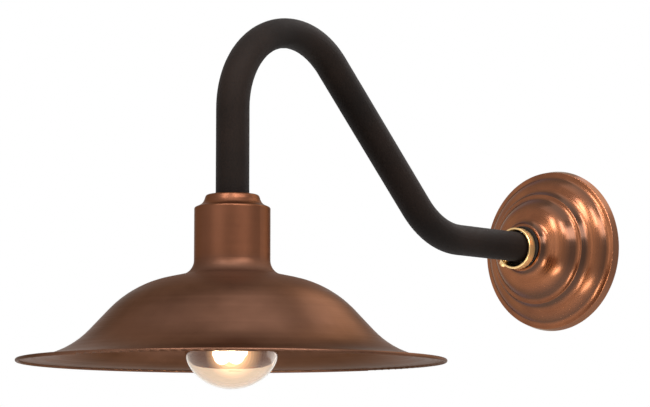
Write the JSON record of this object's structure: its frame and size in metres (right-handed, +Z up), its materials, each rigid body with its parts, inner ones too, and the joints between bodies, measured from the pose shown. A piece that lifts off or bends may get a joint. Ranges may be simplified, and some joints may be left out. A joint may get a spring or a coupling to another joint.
{
  "type": "gooseneck wall sconce",
  "caption": "Wall light: a black bent-pipe arm carries a spun copper dish shade with a clear lamp, from a round rippled copper canopy.",
  "frame": {"origin": "centre of the canopy's back edge, in the plane of the wall, on the axis of the arm's wall end", "axes": "+Z up, +Y into the wall, so that the fixture stands out along -Y"},
  "size_m": [0.2742, 0.4951, 0.2465],
  "materials": {
    "black_powder_coat": "matte black-brown powder coat",
    "shade_copper": "satin antique copper, finely brushed round the shade",
    "canopy_copper": "polished antique copper with darkened hollows",
    "black_rubber": "matte",
    "satin_brass": "satin",
    "zinc_plated_steel": "zinc-plated",
    "green_screw": "green, as on a ground terminal",
    "white_porcelain": "glazed",
    "shell_brass": "bright",
    "nickel_steel": "nickel-plated",
    "clear_glass": "clear",
    "base_metal": "satin",
    "black_glass": "vitrite insulator, glossy black",
    "solder": "soft solder",
    "tungsten_wire": "drawn wire",
    "black_insulation": "wire insulation",
    "white_insulation": "wire insulation",
    "green_insulation": "wire insulation",
    "connector_plastic": "moulded orange"
  },
  "bodies": {
    "fixture": {"gooseneck_arm": "black_powder_coat", "shade": "shade_copper", "crossbar": "zinc_plated_steel", "box_screws": "zinc_plated_steel", "ground_screw": "green_screw", "wall_lock_washer": "zinc_plated_steel", "wall_locknut": "zinc_plated_steel", "shade_seal": "black_rubber", "socket_cap": "zinc_plated_steel", "socket_body": "white_porcelain", "socket_screws": "zinc_plated_steel", "screw_shell": "shell_brass", "centre_contact": "shell_brass", "line_terminal_screw": "shell_brass", "neutral_terminal_screw": "nickel_steel", "line_lead": "black_insulation", "neutral_lead": "white_insulation", "ground_lead": "green_insulation", "wire_connectors": "connector_plastic"},
    "canopy": {"canopy": "canopy_copper", "collar_gasket": "black_rubber"},
    "collar": {"slip_collar": "satin_brass"},
    "set_screw": {"collar_set_screw": "satin_brass"},
    "lamp": {"lamp_glass_bulb": "clear_glass", "lamp_base": "base_metal", "lamp_insulator": "black_glass", "lamp_tip": "solder", "lamp_stem": "clear_glass", "lamp_lead_in_wires": "tungsten_wire", "lamp_supports": "tungsten_wire", "lamp_filament": "tungsten_wire"}
  },
  "joints": [
    {"name": "canopy_slide", "type": "slide", "parent": "fixture", "child": "canopy", "axis": [0, -1, 0], "range_m": [0, 0.03]},
    {"name": "collar_slide", "type": "slide", "parent": "canopy", "child": "collar", "axis": [0, -1, 0], "range_m": [0, 0.02]},
    {"name": "set_screw_travel", "type": "slide", "parent": "collar", "child": "set_screw", "axis": [-0.766, 0, -0.6428], "range_m": [0, 0.003]},
    {"name": "lamp_unscrew", "type": "slide", "parent": "fixture", "child": "lamp", "axis": [0, 0, -1], "range_m": [0, 0.025]}
  ]
}
